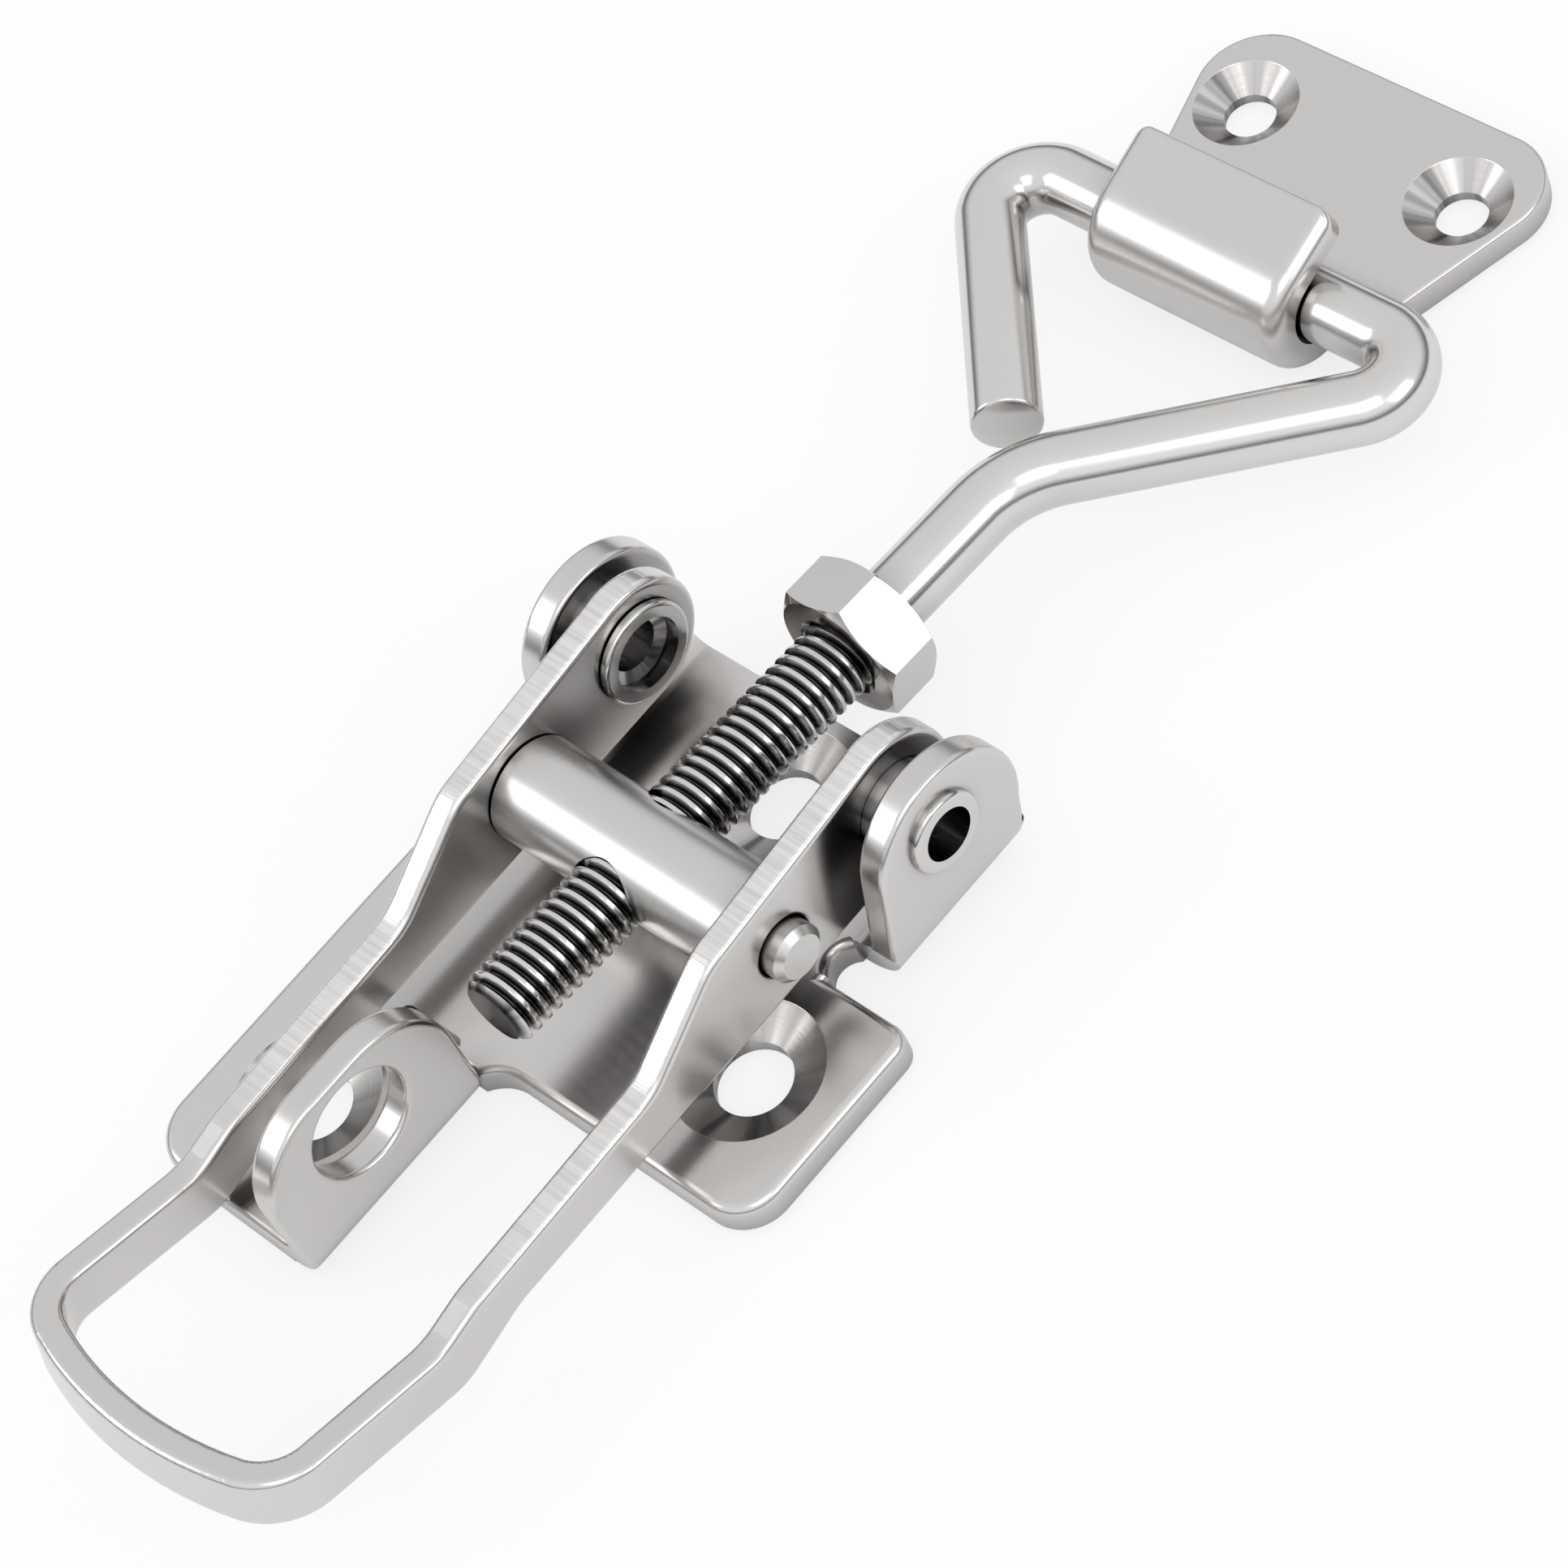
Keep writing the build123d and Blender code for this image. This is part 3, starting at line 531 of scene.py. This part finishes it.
def plated_steel(
    name,
    colour,
    roughness,
    variation,
    ripple_height,
    painted_shade_reach=3.6,
    streaks=None,
    streak_height=0.0,
    highlight_and_score_facing=None,
    sinks=(),
    sink_height=0.0,
    painted_groove_shade=None,
):
    """Bright plated steel with painted shade in gaps and corners, and, if given, streaks, turned
    countersinks with a painted reflection fan, a painted highlight on the lever arms' tops, and painted
    shade in the thread roots.
    """
    material = bpy.data.materials.new(name)
    material.use_nodes = True
    tree = material.node_tree
    shader = tree.nodes["Principled BSDF"]
    # Painted shade: the colour is darkened toward the dark colour in gaps and corners, by ambient
    # occlusion.
    painted_shade = place_group(tree, painted_crevice_shade, Reach=painted_shade_reach * MM, Sharpness=PAINTED_SHADE_SHARPNESS)
    shade = mix_colours(tree, painted_shade.outputs["Share"], colour, PAINTED_SHADE_AND_SCORE_COLOUR)
    shader.inputs["Metallic"].default_value = 1.0
    coordinates = tree.nodes.new("ShaderNodeTexCoord")
    place = coordinates.outputs["Object"]
    finish = place_group(tree, tumbled_finish, Vector=place, Roughness=roughness, Variation=variation)
    height = maths(tree, "MULTIPLY", finish.outputs["Height"], ripple_height)
    rough = finish.outputs["Roughness"]
    if streaks:
        marks = place_group(tree, cross_streaks, Vector=place, Stretch=streaks)
        lift = marks.outputs["Height"]
        if highlight_and_score_facing:
            facing = tree.nodes.new("ShaderNodeVectorMath")
            facing.operation = "DOT_PRODUCT"
            tree.links.new(coordinates.outputs["Normal"], facing.inputs[0])
            facing.inputs[1].default_value = highlight_and_score_facing
            lengthwise = tree.nodes.new("ShaderNodeSeparateXYZ")
            tree.links.new(place, lengthwise.inputs["Vector"])
            arms = tree.nodes.new("ShaderNodeMapRange")
            arms.inputs["From Min"].default_value = HIGHLIGHT_AND_SCORE_FROM_Y * MM
            arms.inputs["From Max"].default_value = HIGHLIGHT_AND_SCORE_FULL_Y * MM
            tree.links.new(lengthwise.outputs["Y"], arms.inputs["Value"])
            top = maths(tree, "GREATER_THAN", facing.outputs["Value"], HIGHLIGHT_AND_SCORE_FACING_LEAST)
            top = maths(tree, "MULTIPLY", top, arms.outputs["Result"])
            lift = maths(tree, "MULTIPLY", lift, top)
            # Painted highlight: the arms' upward faces are lightened toward a pale colour, then scored
            # with darker tool marks.
            painted_highlight_share = maths(tree, "MULTIPLY", top, PAINTED_HIGHLIGHT_SHARE)
            shade = mix_colours(tree, painted_highlight_share, shade, PAINTED_HIGHLIGHT_COLOUR)
            scored = maths(tree, "MULTIPLY_ADD", marks.outputs["Height"], SCORE_GAIN, SCORE_SHIFT)
            shade = mix_colours(tree, maths(tree, "MULTIPLY", scored, top), shade, PAINTED_SHADE_AND_SCORE_COLOUR)
        height = maths(tree, "MULTIPLY_ADD", lift, streak_height, height)
    for centre, radius in sinks:
        rings = place_group(
            tree,
            turned_rings_and_painted_fan,
            Vector=place,
            Centre=[c * MM for c in centre],
            Radius=radius * MM,
        )
        lift = maths(tree, "MULTIPLY", rings.outputs["Height"], rings.outputs["Mask"])
        height = maths(tree, "MULTIPLY_ADD", lift, sink_height, height)
        # Painted reflection: dark wedges of the fan are mixed into the colour inside each countersink.
        painted_fan = maths(tree, "MULTIPLY", rings.outputs["Painted Fan"], rings.outputs["Mask"])
        shade = mix_colours(tree, maths(tree, "MULTIPLY", painted_fan, SINK_PAINTED_FAN_DEPTH), shade, PAINTED_SHADE_AND_SCORE_COLOUR)
    if painted_groove_shade:
        point, direction, floor_r, top_r, end = painted_groove_shade
        axis = place_group(
            tree,
            axis_distance,
            Vector=place,
            Point=[c * MM for c in point],
            Direction=direction,
        )
        # Painted shade: points near the thread's root are darkened by their distance from the bolt's
        # axis.
        depth = tree.nodes.new("ShaderNodeMapRange")
        depth.inputs["From Min"].default_value = floor_r * MM
        depth.inputs["From Max"].default_value = top_r * MM
        depth.inputs["To Min"].default_value = 1.0
        depth.inputs["To Max"].default_value = 0.0
        tree.links.new(axis.outputs["Distance"], depth.inputs["Value"])
        threaded = maths(tree, "LESS_THAN", axis.outputs["Along"], end * MM)
        share = maths(tree, "MULTIPLY", depth.outputs["Result"], threaded)
        shade = mix_colours(tree, share, shade, PAINTED_SHADE_AND_SCORE_COLOUR)
    bump = tree.nodes.new("ShaderNodeBump")
    bump.inputs["Strength"].default_value = 1.0
    bump.inputs["Distance"].default_value = MM
    tree.links.new(height, bump.inputs["Height"])
    tree.links.new(bump.outputs["Normal"], shader.inputs["Normal"])
    tree.links.new(rough, shader.inputs["Roughness"])
    tree.links.new(shade, shader.inputs["Base Color"])
    return material


BASE_SINK_R = 5.55
STRIKE_SINK_R = 4.02
BASE_SINKS = (
    ((13.05, -17.75, 0), BASE_SINK_R),
    ((-13.05, -36.5, 0), BASE_SINK_R),
    ((0, 0, 0), BASE_SINK_R),
)
STRIKE_SINKS = (((9.97, 64.5, 0), STRIKE_SINK_R), ((-9.97, 64.5, 0), STRIKE_SINK_R))

# Painted shade in the thread roots: full up to the first radius, none beyond the second, as far as the
# thread's end.
GROOVE_DARK_RISE = 0.12
GROOVE_BRIGHT_DROP = 0.1
BOLT_DIRECTION = (0.0, math.cos(math.radians(BOLT_ANGLE)), -math.sin(math.radians(BOLT_ANGLE)))
THREAD_GROOVE_SHADE = (
    BARREL_CENTRE,
    BOLT_DIRECTION,
    ROOT_R + GROOVE_DARK_RISE,
    THREAD_R - GROOVE_BRIGHT_DROP,
    THREAD_END,
)

SHEET_COLOUR = (0.66, 0.645, 0.635)
BAR_COLOUR = (0.67, 0.655, 0.645)
TURNED_COLOUR = (0.67, 0.66, 0.65)
WIRE_COLOUR = (0.70, 0.69, 0.68)
SHEET_SHINE = dict(
    colour=SHEET_COLOUR,
    roughness=0.24,
    variation=0.10,
    ripple_height=0.006,
    sink_height=0.010,
)
RIVET_SHINE = dict(
    colour=TURNED_COLOUR,
    roughness=0.14,
    variation=0.04,
    ripple_height=0.003,
    painted_shade_reach=7.0,
)
FINISHES = {
    "base_plate": dict(SHEET_SHINE, sinks=BASE_SINKS),
    "strike_plate": dict(SHEET_SHINE, sinks=STRIKE_SINKS),
    "lever": dict(
        colour=BAR_COLOUR,
        roughness=0.22,
        variation=0.08,
        ripple_height=0.006,
        streaks=(80, 2200, 80),
        streak_height=0.04,
        highlight_and_score_facing=(0, 0, 1),
    ),
    "pivot_rivet_left": RIVET_SHINE,
    "pivot_rivet_right": RIVET_SHINE,
    "trunnion_barrel": dict(
        colour=TURNED_COLOUR,
        roughness=0.27,
        variation=0.04,
        ripple_height=0.002,
        streaks=(1800, 60, 60),
        streak_height=0.0015,
    ),
    "lock_nut": dict(colour=BAR_COLOUR, roughness=0.12, variation=0.05, ripple_height=0.004),
    "hook_bolt": dict(
        colour=WIRE_COLOUR,
        roughness=0.17,
        variation=0.06,
        ripple_height=0.006,
        painted_groove_shade=THREAD_GROOVE_SHADE,
    ),
}
for part_name, finish_values in FINISHES.items():
    finish_material = plated_steel(part_name + "_finish", **finish_values)
    shown_pieces = [nodes[part_name]] + ([hook_bolt] if part_name == "hook_bolt" else [])
    for shown in shown_pieces:
        shown.data.materials.clear()
        shown.data.materials.append(finish_material)


# Floor, lights and camera
FLOOR_SIZE = 6.0
FLOOR_Z = -0.0004
FLOOR_GLOW_SEEN = 0.8
FLOOR_GLOW_MIRRORED = 0.25
SKY_LIGHT = 0.95
SKY_SIDE_DARK = (-0.75, 0.60, 0.28)
SKY_SIDE_FALL = 0.12
HORIZON_DARK = 0.12
HORIZON_FOOT = 0.02
HORIZON_TOP = 0.42

# Lamps in metres and watts: name, place, width and height, power
SOFTBOXES = (
    ("key_softbox", (-0.60, -0.62, 0.62), (0.6, 0.5), 1.5),
    ("side_softbox", (0.80, 0.30, 0.50), (0.5, 0.4), 1.0),
    ("head_softbox", (0.55, -0.24, 0.80), (0.5, 0.5), 1.0),
)

# Camera in metres, fitted to the photograph
CAMERA_PLACE = (0.194348, -0.088165, 0.275826)
CAMERA_RIGHT = (0.7034133, 0.6433436, -0.3021899)
CAMERA_UP = (-0.4341827, 0.7255262, 0.5339449)
CAMERA_BACK = (0.5627568, -0.2443783, 0.7896734)
CAMERA_LENS = 114.72
CAMERA_SENSOR = 36.0
CAMERA_SHIFT_X = 0.02713
CAMERA_SHIFT_Y = 0.02771
CAMERA_NEAR = 0.01
CAMERA_FAR = 20.0


def add_floor():
    """Plain white floor that keeps a soft shadow."""
    deselect_all()
    bpy.ops.mesh.primitive_plane_add(size=FLOOR_SIZE, location=(0, 0, FLOOR_Z))
    floor = bpy.context.object
    floor.name = "studio_floor"
    material = bpy.data.materials.new("studio_floor_white")
    material.use_nodes = True
    tree = material.node_tree
    shader = tree.nodes["Principled BSDF"]
    shader.inputs["Base Color"].default_value = (0.9, 0.9, 0.9, 1)
    shader.inputs["Roughness"].default_value = 0.9
    shader.inputs["Specular IOR Level"].default_value = 0.0
    glow = tree.nodes.new("ShaderNodeEmission")
    glow.inputs["Color"].default_value = (1, 1, 1, 1)
    glow.inputs["Strength"].default_value = 1.0
    path = tree.nodes.new("ShaderNodeLightPath")
    seen = maths(tree, "MULTIPLY", path.outputs["Is Camera Ray"], FLOOR_GLOW_SEEN)
    share = maths(tree, "MULTIPLY_ADD", path.outputs["Is Glossy Ray"], FLOOR_GLOW_MIRRORED, seen)
    mix = tree.nodes.new("ShaderNodeMixShader")
    tree.links.new(share, mix.inputs["Fac"])
    tree.links.new(shader.outputs["BSDF"], mix.inputs[1])
    tree.links.new(glow.outputs["Emission"], mix.inputs[2])
    tree.links.new(mix.outputs["Shader"], tree.nodes["Material Output"].inputs["Surface"])
    floor.data.materials.append(material)


def add_softbox(name, place, size, power):
    """Rectangular area lamp that looks at the origin."""
    lamp = bpy.data.lights.new(name, "AREA")
    lamp.shape = "RECTANGLE"
    lamp.size, lamp.size_y = size
    lamp.energy = power
    lamp_object = bpy.data.objects.new(name, lamp)
    bpy.context.scene.collection.objects.link(lamp_object)
    lamp_object.location = place
    lamp_object.rotation_mode = "QUATERNION"
    lamp_object.rotation_quaternion = (-Vector(place)).to_track_quat("-Z", "Y")


def set_world():
    """Pale studio: dark near the horizon and a little darker to the back left."""
    world = bpy.data.worlds.new("studio")
    bpy.context.scene.world = world
    world.use_nodes = True
    tree = world.node_tree
    background = tree.nodes["Background"]
    background.inputs["Color"].default_value = (1, 1, 1, 1)
    toward = tree.nodes.new("ShaderNodeTexCoord").outputs["Generated"]
    height = tree.nodes.new("ShaderNodeSeparateXYZ")
    tree.links.new(toward, height.inputs["Vector"])
    band = tree.nodes.new("ShaderNodeMapRange")
    band.interpolation_type = "SMOOTHSTEP"
    band.inputs["From Min"].default_value = HORIZON_FOOT
    band.inputs["From Max"].default_value = HORIZON_TOP
    band.inputs["To Min"].default_value = HORIZON_DARK
    band.inputs["To Max"].default_value = 1.0
    tree.links.new(height.outputs["Z"], band.inputs["Value"])
    side = tree.nodes.new("ShaderNodeVectorMath")
    side.operation = "DOT_PRODUCT"
    tree.links.new(toward, side.inputs[0])
    side.inputs[1].default_value = SKY_SIDE_DARK
    sky = maths(tree, "MULTIPLY_ADD", side.outputs["Value"], -SKY_SIDE_FALL, SKY_LIGHT)
    sky = maths(tree, "MULTIPLY", sky, band.outputs["Result"])
    path = tree.nodes.new("ShaderNodeLightPath")
    strength = maths(tree, "MAXIMUM", sky, path.outputs["Is Camera Ray"])
    tree.links.new(strength, background.inputs["Strength"])


def add_camera():
    """Camera at the photograph's place."""
    data = bpy.data.cameras.new("camera")
    camera = bpy.data.objects.new("camera", data)
    bpy.context.scene.collection.objects.link(camera)
    turn = Matrix((CAMERA_RIGHT, CAMERA_UP, CAMERA_BACK)).transposed().to_4x4()
    camera.matrix_world = Matrix.Translation(CAMERA_PLACE) @ turn
    data.sensor_width = CAMERA_SENSOR
    data.lens = CAMERA_LENS
    data.shift_x = CAMERA_SHIFT_X
    data.shift_y = CAMERA_SHIFT_Y
    data.clip_start = CAMERA_NEAR
    data.clip_end = CAMERA_FAR
    bpy.context.scene.camera = camera


add_floor()
for softbox in SOFTBOXES:
    add_softbox(*softbox)
set_world()
add_camera()
bpy.context.scene.view_settings.view_transform = "Standard"
